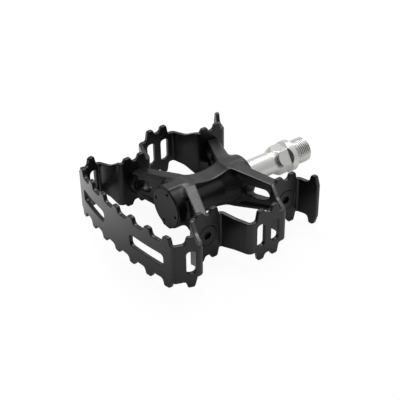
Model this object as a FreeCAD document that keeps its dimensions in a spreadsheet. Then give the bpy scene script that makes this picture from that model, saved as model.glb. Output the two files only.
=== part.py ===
"""Bicycle pedal: a cast body with four arms, a folded toothed cage, and a steel spindle on two bearings.

Millimetres. The X axis is the spindle axis and points to the crank, +Z is up, and the origin lies on the
axis in the collar's face that seats on the crank. The pedal is mirrored front to back (Y) and top to
bottom (Z).
"""
import FreeCAD
import Part
import Sketcher
import math
import os
import re

# Driving dimensions. A place along the spindle is a distance from the crank seat towards the cap, and a
# depth is a distance from the spindle axis towards the front or the back.
SIZES = {
    # spindle
    "thread_diameter": 14.29,
    "thread_length": 10.8,
    "thread_chamfer": 0.9,
    "collar_diameter": 18.2,
    "collar_width": 5.3,
    "collar_chamfer": 0.6,
    "wrench_flats": 15.0,
    "wrench_width": 4.3,
    "wrench_turn": -3.5,
    "taper_length": 5.8,
    "shaft_diameter": 12.8,
    "core_diameter": 10.4,
    "nut_thread_diameter": 7.0,
    "nut_flats": 11.0,
    "nut_width": 4.5,
    "washer_diameter": 11.5,
    "washer_thickness": 1.0,
    "spindle_end_margin": 0.6,
    # bearings
    "inboard_bore": 12.0,
    "inboard_outside": 18.0,
    "inboard_width": 4.0,
    "inboard_ball": 2.0,
    "inboard_ball_count": 13,
    "outboard_bore": 8.0,
    "outboard_outside": 16.0,
    "outboard_width": 5.0,
    "outboard_ball": 2.4,
    "outboard_ball_count": 10,
    "race_land": 0.55,
    "ball_clearance": 0.06,
    "shield_thickness": 0.35,
    "shield_clearance": 0.1,
    "retainer_wall": 0.6,
    "retainer_rim": 0.3,
    # seal and dust cap
    "seal_recess": 3.2,
    "seal_width": 2.9,
    "seal_lip": 1.0,
    "seal_lip_slope": 0.6,
    "seal_clearance": 0.06,
    "cap_diameter": 22.2,
    "cap_thickness": 1.6,
    "cap_gap": 0.25,
    "cap_plug_diameter": 18.4,
    "cap_plug_length": 5.0,
    "cap_plug_wall": 2.0,
    "cap_pin_hole": 1.8,
    "cap_pin_depth": 1.1,
    "cap_pin_circle": 17.8,
    "cap_pin_count": 4,
    "cap_pin_turn": 12.0,
    "ring_section": 1.2,
    "ring_groove": 1.7,
    # body
    "rim_place": 34.1,
    "barrel_length": 51.6,
    "barrel_diameter": 24.4,
    "barrel_chamfer": 0.6,
    "cap_drum_length": 7.5,
    "rim_drum_length": 10.0,
    "waist_diameter": 18.4,
    "flare_length": 9.0,
    "rib_width": 6.6,
    "rib_height": 25.0,
    "saddle_width": 10.6,
    "saddle_dip": 2.6,
    "bore_diameter": 13.4,
    "bearing_depth": 9.0,
    "arm_height": 24.0,
    "arm_flat_half": 5.5,
    "arm_tip_height": 15.0,
    "flange_thickness": 2.3,
    "web_thickness": 5.0,
    "arm_root_depth": 4.0,
    "cap_arm_root_place": 73.2,
    "cap_arm_root_width": 7.0,
    "cap_arm_tip_width": 6.0,
    "crank_arm_root_place": 43.6,
    "crank_arm_root_width": 8.4,
    "crank_arm_tip_width": 7.0,
    "cap_window_start": 20.5,
    "cap_window_end": 28.0,
    "crank_window_start": 10.9,
    "crank_window_end": 24.9,
    "window_height": 6.8,
    "boss_diameter": 10.8,
    "boss_length": 4.6,
    # cage
    "cage_reach": 115.5,
    "strip_thickness": 2.4,
    "front_radius": 190.0,
    "front_half_depth": 41.6,
    "corner_run": 1.3,
    "horn_place": 97.3,
    "horn_depth": 47.3,
    "fold_bend": 2.2,
    "cap_screw_place": 83.2,
    "crank_screw_place": 31.3,
    "screw_plate_length": 18.4,
    "screw_plate_depth": 32.6,
    "toe_place": 57.2,
    "toe_length": 22.2,
    "toe_depth": 49.0,
    "tail_place": 21.0,
    "tail_depth": 42.4,
    "tail_end_place": 17.0,
    "tail_end_depth": 43.2,
    "tail_bend": 1.6,
    "tail_shoulder": 11.6,
    "tail_tip_start": 0.4,
    "tail_tip_end": 2.7,
    "tooth_tip": 15.3,
    "front_tip_drop": 1.0,
    "tooth_tip_width": 3.6,
    "tooth_base_width": 5.8,
    "tip_round": 1.2,
    "root_round": 1.9,
    "front_tooth_pitch": 12.9,
    "front_side_teeth": 3,
    "front_valley": 11.2,
    "corner_dip": 11.4,
    "horn_tooth_gap": 5.6,
    "pair_dip": 12.4,
    "bend_edge": 10.5,
    "outer_bend_edge": 13.4,
    "leg_round": 9.0,
    "fold_edge": 9.4,
    "screw_tooth_gap": 8.9,
    "toe_tooth_gap": 9.1,
    "slot_width": 4.8,
    "slot_height": 13.4,
    "slot_round": 1.9,
    "window_slot_near": 12.0,
    "window_slot_far": 36.8,
    "window_slot_height": 7.0,
    # cage screws
    "screw_diameter": 6.0,
    "screw_head_diameter": 11.5,
    "screw_head_edge": 0.5,
    "screw_length": 7.0,
    "screw_socket": 4.0,
    "screw_socket_depth": 2.2,
    "screw_clearance": 0.1,
}

doc = FreeCAD.newDocument("bicycle_pedal")
sheet = doc.addObject("Spreadsheet::Sheet", "dims")
for row, (alias, number) in enumerate(SIZES.items(), start=1):
    sheet.set(f"A{row}", alias)
    sheet.set(f"B{row}", str(number))
    sheet.setAlias(f"B{row}", alias)
doc.recompute()

X_AXIS = FreeCAD.Vector(1, 0, 0)
Y_AXIS = FreeCAD.Vector(0, 1, 0)
Z_AXIS = FreeCAD.Vector(0, 0, 1)
ALONG_SPINDLE = FreeCAD.Rotation(Z_AXIS, X_AXIS)
FULL_TURN = 360.0
HEXAGON = 6
SIDES = (-1, 1)
TINY = 1e-6
# A rounded corner takes at most this share of the shorter side beside it.
ROUND_SHARE = 0.49

# Places along the spindle, as formulas of the sheet.
CRANK_SEAT = "0"
WRENCH_FACE = "(-collar_width)"
TAPER_FACE = "(-collar_width - wrench_width)"
SHAFT_FACE = "(-collar_width - wrench_width - taper_length)"
RIM = "(-rim_place)"
CAP_FACE = "(-rim_place - barrel_length)"
INBOARD_CRANK = "(-rim_place - seal_recess)"
INBOARD_CAP = "(-rim_place - seal_recess - inboard_width)"
OUTBOARD_CAP = "(-rim_place - barrel_length + bearing_depth)"
OUTBOARD_CRANK = "(-rim_place - barrel_length + bearing_depth + outboard_width)"
NUT_CRANK = "(-rim_place - barrel_length + bearing_depth - washer_thickness)"
NUT_CAP = "(-rim_place - barrel_length + bearing_depth - washer_thickness - nut_width)"
SPINDLE_END = f"({NUT_CAP} - spindle_end_margin)"
CAP_SEAT = "(-rim_place - barrel_length + cap_thickness)"
PLUG_END = "(-rim_place - barrel_length + cap_thickness + cap_plug_length)"


def bound(formula):
    """Makes a formula of plain size names read the sheet; a square root stays as it is."""
    return re.sub(r"\b(?!sqrt\b)[a-z][a-z_]+", lambda word: "dims." + word.group(0), formula)


def size(formula):
    """Value of a formula of plain size names."""
    return float(sheet.evalExpression(bound(formula)))


def add(kind, name, **formulas):
    """Adds a primitive whose sizes are bound to the sheet."""
    item = doc.addObject(kind, name)
    for prop, formula in formulas.items():
        item.setExpression(prop, bound(formula))
    return item


def place_along(item, formula):
    """Turns a primitive's own Z axis along the spindle and binds its place there."""
    item.Placement = FreeCAD.Placement(FreeCAD.Vector(size(formula), 0, 0), ALONG_SPINDLE)
    item.setExpression("Placement.Base.x", bound(formula))
    return item


def cut(name, base, tool):
    """Base with the tool taken away."""
    item = doc.addObject("Part::Cut", name)
    item.Base = base
    item.Tool = tool
    return item


def join(name, shapes):
    """All shapes as one solid."""
    item = doc.addObject("Part::MultiFuse", name)
    item.Shapes = shapes
    item.Refine = True
    return item


def overlap(name, shapes):
    """What all shapes share."""
    item = doc.addObject("Part::MultiCommon", name)
    item.Shapes = shapes
    return item


def mirrored(name, source):
    """The source mirrored front to back."""
    item = doc.addObject("Part::Mirroring", name)
    item.Source = source
    item.Normal = Y_AXIS
    return item


def profile(name, corners):
    """Closed sketch of straight lines; each corner is a pair of formulas that lock it."""
    sketch = doc.addObject("Sketcher::SketchObject", name)
    points = [FreeCAD.Vector(size(first), size(second), 0) for first, second in corners]
    count = len(corners)
    for index in range(count):
        sketch.addGeometry(Part.LineSegment(points[index], points[(index + 1) % count]))
    for index in range(count):
        sketch.addConstraint(Sketcher.Constraint("Coincident", index, 2, (index + 1) % count, 1))
    for index, corner in enumerate(corners):
        for kind, formula in zip(("DistanceX", "DistanceY"), corner):
            lock = sketch.addConstraint(Sketcher.Constraint(kind, index, 1, size(formula)))
            sketch.setExpression(f"Constraints[{lock}]", bound(formula))
    return sketch


def turned(name, corners):
    """Solid of revolution about the spindle axis; each corner is (place along it, radius)."""
    item = doc.addObject("Part::Revolution", name)
    item.Source = profile(name + "_profile", corners)
    item.Axis = X_AXIS
    item.Angle = FULL_TURN
    item.Solid = True
    return item


def tube(name, start, end, inner, outer):
    """Plain ring about the spindle axis."""
    return turned(name, [(start, inner), (end, inner), (end, outer), (start, outer)])


def rounded_wire(corners):
    """Closed wire in the XY plane; each corner is (x, y, rounding radius)."""
    points = [FreeCAD.Vector(x, y, 0) for x, y, radius in corners]
    arcs = []
    for index, (x, y, radius) in enumerate(corners):
        corner = points[index]
        to_last = (points[index - 1] - corner).normalize()
        to_next = (points[(index + 1) % len(points)] - corner).normalize()
        half = to_last.getAngle(to_next) / 2
        if radius == 0 or math.pi / 2 - half < TINY:
            arcs.append((corner, corner, corner))
            continue
        shorter = min(corner.distanceToPoint(points[index - 1]),
                      corner.distanceToPoint(points[(index + 1) % len(points)]))
        run = min(radius / math.tan(half), ROUND_SHARE * shorter)
        radius = run * math.tan(half)
        inward = (to_last + to_next).normalize()
        middle = corner + inward * (radius / math.sin(half) - radius)
        arcs.append((corner + to_last * run, middle, corner + to_next * run))
    edges = []
    for index, (first, middle, last) in enumerate(arcs):
        if first != last:
            edges.append(Part.Arc(first, middle, last).toShape())
        following = arcs[(index + 1) % len(arcs)][0]
        if last.distanceToPoint(following) > TINY:
            edges.append(Part.makeLine(last, following))
    return Part.Wire(edges)


def made(name, shape):
    """Document object that holds a shape worked out from the sheet's values."""
    item = doc.addObject("Part::Feature", name)
    item.Shape = shape
    item.Placement = FreeCAD.Placement()
    return item


# Spindle: turned steel, with six wrench flats milled across the wide end of the taper. The taper is an
# easy S, given as (share of its length, share of its fall), and the flats run out at 45 degrees into the
# collar.
TAPER = [
    (f"{TAPER_FACE} - {along} * taper_length",
     f"collar_diameter / 2 - {fall} * (collar_diameter - shaft_diameter) / 2")
    for along, fall in ((0.2, 0.1), (0.33, 0.26), (0.48, 0.58), (0.67, 0.83), (0.87, 0.96))]
spindle_blank = turned("spindle_blank", [
    ("thread_length", "0"),
    ("thread_length", "thread_diameter / 2 - thread_chamfer"),
    ("thread_length - thread_chamfer", "thread_diameter / 2"),
    (CRANK_SEAT, "thread_diameter / 2"),
    (CRANK_SEAT, "collar_diameter / 2 - collar_chamfer"),
    (CRANK_SEAT + " - collar_chamfer", "collar_diameter / 2"),
    (TAPER_FACE, "collar_diameter / 2"),
    *TAPER,
    (SHAFT_FACE, "shaft_diameter / 2"),
    (INBOARD_CRANK, "shaft_diameter / 2"),
    (INBOARD_CRANK, "inboard_bore / 2"),
    (INBOARD_CAP, "inboard_bore / 2"),
    (INBOARD_CAP, "core_diameter / 2"),
    (OUTBOARD_CRANK, "core_diameter / 2"),
    (OUTBOARD_CRANK, "outboard_bore / 2"),
    (OUTBOARD_CAP, "outboard_bore / 2"),
    (OUTBOARD_CAP, "nut_thread_diameter / 2"),
    (SPINDLE_END, "nut_thread_diameter / 2"),
    (SPINDLE_END, "0"),
])
# A hexagon's corner radius is its width across flats by the root of three.
NUT_CORNER = "nut_flats / sqrt(3)"
SOCKET_CORNER = "screw_socket / sqrt(3)"
WRENCH_HALF = "(wrench_flats / 2)"
RUN_OUT = "(collar_width - collar_chamfer)"
flat_profile = [
    (SHAFT_FACE, WRENCH_HALF), (WRENCH_FACE, WRENCH_HALF),
    (f"{WRENCH_FACE} + {RUN_OUT}", f"{WRENCH_HALF} + {RUN_OUT}"),
    (SHAFT_FACE, f"{WRENCH_HALF} + {RUN_OUT}"), (SHAFT_FACE, WRENCH_HALF)]
clear_width = size("collar_diameter")
flat_cutter = Part.Face(Part.makePolygon([
    FreeCAD.Vector(size(place), -clear_width, size(height)) for place, height in flat_profile])).extrude(
        Y_AXIS * 2 * clear_width)
flat_cutters = []
for index in range(HEXAGON):
    cutter = flat_cutter.copy()
    cutter.rotate(FreeCAD.Vector(), X_AXIS, size("wrench_turn") + FULL_TURN * index / HEXAGON)
    flat_cutters.append(cutter)
spindle = cut("spindle", spindle_blank, made("flats_cutter", flat_cutters[0].multiFuse(flat_cutters[1:])))


def bearing(prefix, crank_face, cap_face):
    """Cartridge bearing: two grooved rings, balls in a retainer, and a shield on each side."""
    bore = f"{prefix}_bore / 2"
    outside = f"{prefix}_outside / 2"
    pitch = f"({prefix}_bore + {prefix}_outside) / 4"
    middle = f"({crank_face} + {cap_face}) / 2"
    ball = f"{prefix}_ball / 2"
    inner_land = f"{pitch} - race_land"
    outer_land = f"{pitch} + race_land"

    groove = place_along(
        add("Part::Torus", f"{prefix}_groove", Radius1=pitch, Radius2=f"{ball} + ball_clearance"), middle)
    rings = []
    for side, low, high in (("inner", bore, inner_land), ("outer", outer_land, outside)):
        blank = tube(f"{prefix}_{side}_ring_blank", cap_face, crank_face, low, high)
        rings.append(cut(f"{prefix}_{side}_ring", blank, groove))

    shields = []
    for side, start, end in (
            ("crank", f"{crank_face} - shield_thickness", crank_face),
            ("cap", cap_face, f"{cap_face} + shield_thickness")):
        shields.append(tube(
            f"{prefix}_{side}_shield", start, end, f"{inner_land} + shield_clearance", outer_land))

    count = int(size(f"{prefix}_ball_count"))
    centre = FreeCAD.Vector(size(middle), 0, size(pitch))
    spheres = []
    pockets = []
    for index in range(count):
        turn = FULL_TURN * index / count
        for radius, group in ((size(ball), spheres), (size(ball) + size("ball_clearance"), pockets)):
            sphere = Part.makeSphere(radius, centre)
            sphere.rotate(FreeCAD.Vector(), X_AXIS, turn)
            group.append(sphere)
    balls = made(f"{prefix}_balls", Part.makeCompound(spheres))

    half_width = f"({ball} + ball_clearance + retainer_rim)"
    band = tube(
        f"{prefix}_retainer_band", f"{middle} - {half_width}", f"{middle} + {half_width}",
        f"{pitch} - retainer_wall / 2", f"{pitch} + retainer_wall / 2")
    pocket_set = made(f"{prefix}_pockets", Part.makeCompound(pockets))
    retainer = cut(f"{prefix}_retainer", band, pocket_set)
    return rings + shields + [balls, retainer]


inboard_bearing = bearing("inboard", INBOARD_CRANK, INBOARD_CAP)
outboard_bearing = bearing("outboard", OUTBOARD_CRANK, OUTBOARD_CAP)

# Lock washer and lock nut: clamp the outboard inner ring against the spindle's shoulder.
lock_washer = tube("lock_washer", NUT_CRANK, OUTBOARD_CAP, "nut_thread_diameter / 2", "washer_diameter / 2")
nut_blank = place_along(
    add("Part::Prism", "nut_blank", Circumradius=NUT_CORNER, Height="nut_width"), NUT_CAP)
nut_blank.Polygon = HEXAGON
nut_bore = place_along(
    add("Part::Cylinder", "nut_bore", Radius="nut_thread_diameter / 2", Height="nut_width"), NUT_CAP)
lock_nut = cut("lock_nut", nut_blank, nut_bore)

# Inboard seal: a rubber ring pressed in the barrel's mouth, with a lip that runs on the shaft.
inboard_seal = turned("inboard_seal", [
    (RIM, "inboard_outside / 2"),
    (RIM + " - seal_width", "inboard_outside / 2"),
    (RIM + " - seal_width", "inboard_outside / 2 - seal_lip"),
    (RIM + " - seal_lip", "inboard_outside / 2 - seal_lip"),
    (RIM + " - seal_lip - seal_lip_slope", "shaft_diameter / 2 + seal_clearance"),
    (RIM, "shaft_diameter / 2 + seal_clearance"),
])

# Dust cap: a flanged plug screwed into the barrel, with blind holes for a pin spanner in its face.
PLUG_RADIUS = "cap_plug_diameter / 2"
GROOVE_FLOOR = "cap_plug_diameter / 2 - ring_section"
cap_blank = turned("cap_blank", [
    (CAP_FACE, "0"),
    (CAP_FACE, "cap_diameter / 2"),
    (CAP_SEAT, "cap_diameter / 2"),
    (CAP_SEAT, GROOVE_FLOOR),
    (CAP_SEAT + " + ring_groove", GROOVE_FLOOR),
    (CAP_SEAT + " + ring_groove", PLUG_RADIUS),
    (PLUG_END, PLUG_RADIUS),
    (PLUG_END, PLUG_RADIUS + " - cap_plug_wall"),
    (CAP_SEAT, PLUG_RADIUS + " - cap_plug_wall"),
    (CAP_SEAT, "0"),
])
pin_holes = []
for index in range(int(size("cap_pin_count"))):
    turn = size("cap_pin_turn") + FULL_TURN * index / size("cap_pin_count")
    hole = Part.makeCylinder(
        size("cap_pin_hole / 2"), size("cap_pin_depth"),
        FreeCAD.Vector(size(CAP_FACE), 0, size("cap_pin_circle / 2")), X_AXIS)
    hole.rotate(FreeCAD.Vector(), X_AXIS, turn)
    pin_holes.append(hole)
dust_cap = cut("dust_cap", cap_blank, made("cap_pin_holes", Part.makeCompound(pin_holes)))
dust_cap_o_ring = place_along(
    add("Part::Torus", "dust_cap_o_ring", Radius1=GROOVE_FLOOR + " + ring_section / 2",
        Radius2="ring_section / 2"),
    CAP_SEAT + " + ring_groove / 2")

# Body barrel: a full drum at each end that flares from a narrower waist, and a flat rib that runs from
# the cap to the first arms along its top and bottom.
drums = turned("body_drums", [
    (CAP_FACE, "0"),
    (CAP_FACE, "barrel_diameter / 2 - barrel_chamfer"),
    (CAP_FACE + " + barrel_chamfer", "barrel_diameter / 2"),
    (CAP_FACE + " + cap_drum_length", "barrel_diameter / 2"),
    (CAP_FACE + " + cap_drum_length + flare_length", "waist_diameter / 2"),
    (RIM + " - rim_drum_length - flare_length", "waist_diameter / 2"),
    (RIM + " - rim_drum_length", "barrel_diameter / 2"),
    (RIM + " - barrel_chamfer", "barrel_diameter / 2"),
    (RIM, "barrel_diameter / 2 - barrel_chamfer"),
    (RIM, "0"),
])
top_rib = add("Part::Box", "top_rib", Length="rim_place + barrel_length - cap_arm_root_place",
              Width="rib_width", Height="rib_height")
top_rib.Placement = FreeCAD.Placement(
    FreeCAD.Vector(size(CAP_FACE), -size("rib_width / 2"), -size("rib_height / 2")), FreeCAD.Rotation())
top_rib.setExpression("Placement.Base.x", bound(CAP_FACE))
top_rib.setExpression("Placement.Base.y", bound("-rib_width / 2"))
top_rib.setExpression("Placement.Base.z", bound("-rib_height / 2"))

# Saddle: a flat band along the barrel's top and bottom between the arms, hollowed lengthways.
saddle_ends = [size("-cap_arm_root_place"), size("-crank_arm_root_place")]
saddle_middle = sum(saddle_ends) / len(saddle_ends)
saddle_top = size("arm_height / 2")
saddle_low = saddle_top - size("saddle_dip")
front_face = -size("saddle_width / 2")


def saddle_edge(side):
    """Hollow edge of the band along the top (1) or the bottom (-1)."""
    start, end = [FreeCAD.Vector(place, front_face, side * saddle_top) for place in saddle_ends]
    return Part.Arc(start, FreeCAD.Vector(saddle_middle, front_face, side * saddle_low), end).toShape()


saddle_edges = [saddle_edge(side) for side in SIDES]
for place in saddle_ends:
    saddle_edges.append(Part.makeLine(
        *[FreeCAD.Vector(place, front_face, side * saddle_top) for side in SIDES]))
saddle_face = Part.Face(Part.Wire(Part.__sortEdges__(saddle_edges)))
saddle = made("saddle", saddle_face.extrude(Y_AXIS * size("saddle_width")))

# Arms: each is an I-section in plan and height. It is flat over the barrel, slopes along its own run to
# the cage and ends in a round boss for its screw. A long window goes through its web, and on the cap's
# side it reaches into the boss, where the screw's end shows.
ARM_END = "(screw_plate_depth - strip_thickness / 2)"


def upright(name, outline, length):
    """Prism of a plan outline through the arms' whole height."""
    outline.Placement = FreeCAD.Placement(FreeCAD.Vector(0, 0, -size("arm_height / 2")), FreeCAD.Rotation())
    outline.setExpression("Placement.Base.z", bound("-arm_height / 2"))
    prism = doc.addObject("Part::Extrusion", name)
    prism.Base = outline
    prism.DirMode = "Normal"
    prism.Solid = True
    prism.setExpression("LengthFwd", bound(length))
    return prism


def arm_plan(name, kind, root_width, tip_width):
    """Prism over the front arm's plan, from the spindle axis to the cage."""
    end = "-" + ARM_END
    root = "-arm_root_depth"
    return upright(name, profile(name + "_outline", [
        (f"-{kind}_arm_root_place - {root_width} / 2", "0"),
        (f"-{kind}_arm_root_place - {root_width} / 2", root),
        (f"-{kind}_screw_place - {tip_width} / 2", end),
        (f"-{kind}_screw_place + {tip_width} / 2", end),
        (f"-{kind}_arm_root_place + {root_width} / 2", root),
        (f"-{kind}_arm_root_place + {root_width} / 2", "0")]), "arm_height")


class ArmRun:
    """Straight line of a front arm in plan, from its root on the barrel to its screw."""

    def __init__(self, kind):
        self.kind = kind
        root = size(f"{kind}_arm_root_place")
        run = FreeCAD.Vector(root - size(f"{kind}_screw_place"), size(f"arm_root_depth - {ARM_END}"), 0)
        self.foot = FreeCAD.Vector(-root, -size("arm_root_depth"), 0)
        self.stretch = run.Length / abs(run.y)
        self.along = run.normalize()
        self.across = self.along.cross(Z_AXIS)

    def reach(self, depth):
        """Distance along the run where it is that deep."""
        return (depth - size("arm_root_depth")) * self.stretch

    def prism(self, wire):
        """Prism across the run of an outline that is drawn in distances along the run and heights."""
        half = size("barrel_diameter")
        face = Part.Face(wire)
        face.Placement = FreeCAD.Placement(
            self.foot - self.across * half, FreeCAD.Rotation(self.along, Z_AXIS, self.across, "XYZ"))
        return face.extrude(self.across * 2 * half)

    def side_view(self, lowered):
        """What lies between the arm's sloping top and bottom, with both lowered by a thickness."""
        top = size("arm_height / 2") - lowered
        tip = size("arm_tip_height / 2") - lowered
        flat_end = self.reach(size("arm_flat_half"))
        slope_end = self.reach(size(ARM_END))
        past = slope_end + size("boss_length")
        past_tip = tip - (top - tip) * size("boss_length") / (slope_end - flat_end)
        behind = -size("barrel_diameter")
        upper = [(behind, top, 0), (flat_end, top, 0), (past, past_tip, 0)]
        lower = [(along, -height, 0) for along, height, radius in reversed(upper)]
        return self.prism(rounded_wire(upper + lower))

    def window(self):
        """Long hole along the middle of the web."""
        near = self.reach(size(f"{self.kind}_window_start"))
        far = self.reach(size(f"{self.kind}_window_end"))
        half = size("window_height") / 2
        corner = size("window_height") * ROUND_SHARE
        return self.prism(rounded_wire([
            (near, -half, corner), (far, -half, corner), (far, half, corner), (near, half, corner)]))


arms = []
for kind in ("cap", "crank"):
    run = ArmRun(kind)
    flange_plan = arm_plan(f"{kind}_flange_plan", kind, f"{kind}_arm_root_width", f"{kind}_arm_tip_width")
    web_plan = arm_plan(f"{kind}_web_plan", kind, "web_thickness", "web_thickness")
    envelope = made(f"{kind}_arm_envelope", run.side_view(0))
    hollow = made(f"{kind}_arm_hollow", run.side_view(size("flange_thickness")))
    skin = cut(f"{kind}_arm_skin", envelope, hollow)
    flanges = overlap(f"{kind}_flanges", [flange_plan, skin])
    web = overlap(f"{kind}_web", [web_plan, envelope])
    boss = made(f"{kind}_screw_boss", Part.makeCylinder(
        size("boss_diameter / 2"), size("boss_length"),
        FreeCAD.Vector(-size(f"{kind}_screw_place"), -size(ARM_END), 0), Y_AXIS))
    solid_arm = join(f"{kind}_solid_arm", [flanges, web, boss])
    front_arm = cut(f"{kind}_front_arm", solid_arm, made(f"{kind}_arm_window", run.window()))
    arms += [front_arm, mirrored(f"{kind}_back_arm", front_arm)]

body_bores = turned("body_bores", [
    (RIM, "0"),
    (RIM, "inboard_outside / 2"),
    (INBOARD_CAP, "inboard_outside / 2"),
    (INBOARD_CAP, "bore_diameter / 2"),
    (OUTBOARD_CRANK, "bore_diameter / 2"),
    (OUTBOARD_CRANK, "outboard_outside / 2"),
    (OUTBOARD_CAP, "outboard_outside / 2"),
    (OUTBOARD_CAP, "cap_plug_diameter / 2"),
    (CAP_SEAT, "cap_plug_diameter / 2"),
    (CAP_SEAT, "cap_diameter / 2 + cap_gap"),
    (CAP_FACE, "cap_diameter / 2 + cap_gap"),
    (CAP_FACE, "0"),
])


def screw_profile(clearance, length):
    """Countersunk screw along +Z with its head's face at the origin, pointing down."""
    shank = size("screw_diameter") / 2
    head = size("screw_head_diameter") / 2 + clearance
    edge = size("screw_head_edge")
    cone = head - shank
    wire = Part.makePolygon([
        FreeCAD.Vector(0, 0, 0), FreeCAD.Vector(head, 0, 0), FreeCAD.Vector(head, 0, -edge),
        FreeCAD.Vector(shank, 0, -edge - cone), FreeCAD.Vector(shank, 0, -length),
        FreeCAD.Vector(0, 0, -length), FreeCAD.Vector(0, 0, 0)])
    return Part.Face(wire).revolve(FreeCAD.Vector(), Z_AXIS, FULL_TURN)


def at_screws(shape):
    """Copies of a shape at the four screws, its +Z pointing out of the cage."""
    copies = []
    for screw in ("cap_screw_place", "crank_screw_place"):
        for side in SIDES:
            copy = shape.copy()
            out = Y_AXIS * side
            depth = size("screw_plate_depth + strip_thickness / 2")
            copy.Placement = FreeCAD.Placement(
                FreeCAD.Vector(-size(screw), side * depth, 0),
                FreeCAD.Rotation(Z_AXIS.cross(out), Z_AXIS, out, "XYZ"))
            copies.append(copy)
    return Part.makeCompound(copies)


socket_corners = []
for index in range(HEXAGON + 1):
    turn = FreeCAD.Rotation(Z_AXIS, FULL_TURN * index / HEXAGON)
    socket_corners.append(turn.multVec(X_AXIS * size(SOCKET_CORNER)))
socket = Part.Face(Part.makePolygon(socket_corners)).extrude(Z_AXIS * -size("screw_socket_depth"))
screw_solid = screw_profile(0, size("screw_length")).cut(socket)
cage_screws = made("cage_screws", at_screws(screw_solid))
screw_holes = made("screw_holes", at_screws(screw_profile(size("screw_clearance"), size("screw_length"))))

body_solid = join("body_solid", [drums, top_rib, saddle, *arms])
pedal_body = cut("pedal_body", cut("bored_body", body_solid, body_bores), screw_holes)

# Cage: one stamped strip. Each flat is cut to its own edge line, and bends of the strip join the flats.
THICKNESS = size("strip_thickness")
FOLD_EDGE = size("fold_edge")
BEND_EDGE = size("bend_edge")
OUTER_BEND_EDGE = size("outer_bend_edge")
# A leg's edge is hollowed at its middle by this share of its fall.
LEG_HOLLOW = 0.35


def edge_face(edge_line, slots=()):
    """Face under an edge line and its mirror below; a slot is (middle, half width, half height)."""
    upper = list(edge_line)
    lower = [(along, -height, radius) for along, height, radius in reversed(upper)]
    corner = size("slot_round")
    holes = []
    for middle, half_width, half_height in slots:
        holes.append(rounded_wire([
            (middle - half_width, -half_height, corner), (middle + half_width, -half_height, corner),
            (middle + half_width, half_height, corner), (middle - half_width, half_height, corner)]))
    return Part.Face([rounded_wire(upper + lower)] + holes)


def tooth(middle, low_before, low_after, tip=size("tooth_tip")):
    """Edge line over one tooth, from the low edge before it to the low edge after it."""
    half_tip = size("tooth_tip_width / 2")
    half_base = size("tooth_base_width / 2")
    return [
        (middle - half_base, low_before, size("root_round")),
        (middle - half_tip, tip, size("tip_round")),
        (middle + half_tip, tip, size("tip_round")),
        (middle + half_base, low_after, size("root_round"))]


def flat(start, end, edge_line, slots=()):
    """Flat of the strip between two plan points; its edge line counts from the start."""
    run = (end - start).normalize()
    square = run.cross(Z_AXIS)
    face = edge_face(edge_line, slots)
    face.Placement = FreeCAD.Placement(
        start - square * (THICKNESS / 2), FreeCAD.Rotation(run, Z_AXIS, square, "XYZ"))
    return face.extrude(square * THICKNESS)


def ring_sector(first, middle, last, centre, half_height):
    """Sector of an upright ring of the strip's thickness, through three plan points."""
    faces = []
    for offset in (-THICKNESS / 2, THICKNESS / 2):
        shifted = [point + (point - centre).normalize() * offset for point in (first, middle, last)]
        faces.append((shifted, Part.Arc(*shifted).toShape()))
    (inner, inner_arc), (outer, outer_arc) = faces
    ends = [Part.makeLine(inner[index], outer[index]) for index in (0, 2)]
    face = Part.Face(Part.Wire(Part.__sortEdges__([inner_arc, ends[1], outer_arc, ends[0]])))
    face.translate(Z_AXIS * -half_height)
    return face.extrude(Z_AXIS * 2 * half_height)


class Fold:
    """Bend of the strip at a plan corner, with the points where the flats meet it."""

    def __init__(self, before, corner, after, radius=None, run=None):
        to_last = (before - corner).normalize()
        to_next = (after - corner).normalize()
        half = to_last.getAngle(to_next) / 2
        run = run or radius / math.tan(half)
        inward = (to_last + to_next).normalize()
        self.corner = corner
        self.run = run
        self.first = corner + to_last * run
        self.last = corner + to_next * run
        self.centre = corner + inward * (run / math.cos(half))
        self.middle = self.centre - inward * (run * math.tan(half))

    def solid(self, half_height):
        """The bent strip."""
        return ring_sector(self.first, self.middle, self.last, self.centre, half_height)


def plan(place, depth):
    """Plan point on the back half of the cage."""
    return FreeCAD.Vector(-place, depth, 0)


def front_plate():
    """Outer flat of the strip, bowed in plan, with its row of teeth and two long slots."""
    centre = plan(size("cage_reach - front_radius"), 0)
    end = size("front_half_depth")
    sag = size("front_radius") - math.sqrt(size("front_radius") ** 2 - end ** 2)
    corners = [plan(size("cage_reach") - sag, side * end) for side in SIDES]
    height = size("tooth_tip") + THICKNESS
    bowed = ring_sector(corners[0], plan(size("cage_reach"), 0), corners[1], centre, height)
    side_teeth = int(size("front_side_teeth"))
    valley = size("front_valley")
    edge_line = []
    for index in range(-side_teeth, side_teeth + 1):
        tip = size("tooth_tip") - size("front_tip_drop") * (1 - abs(index) / side_teeth)
        edge_line += tooth(index * size("front_tooth_pitch"), valley, valley, tip)
    corner_dip = size("corner_dip")
    past = end + THICKNESS
    edge_line = [
        (-past, corner_dip, 0), (-end, corner_dip, 0), *edge_line[1:-1],
        (end, corner_dip, 0), (past, corner_dip, 0)]
    slot_middle = size("(window_slot_near + window_slot_far) / 2")
    slot_half = size("(window_slot_far - window_slot_near) / 2")
    slots = [(side * slot_middle, slot_half, size("window_slot_height / 2")) for side in SIDES]
    face = edge_face(edge_line, slots)
    reach = size("cage_reach") + THICKNESS
    face.Placement = FreeCAD.Placement(plan(reach, 0), FreeCAD.Rotation(Y_AXIS, Z_AXIS, X_AXIS, "XYZ"))
    return bowed.common(face.extrude(X_AXIS * (sag + 2 * THICKNESS)))


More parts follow.
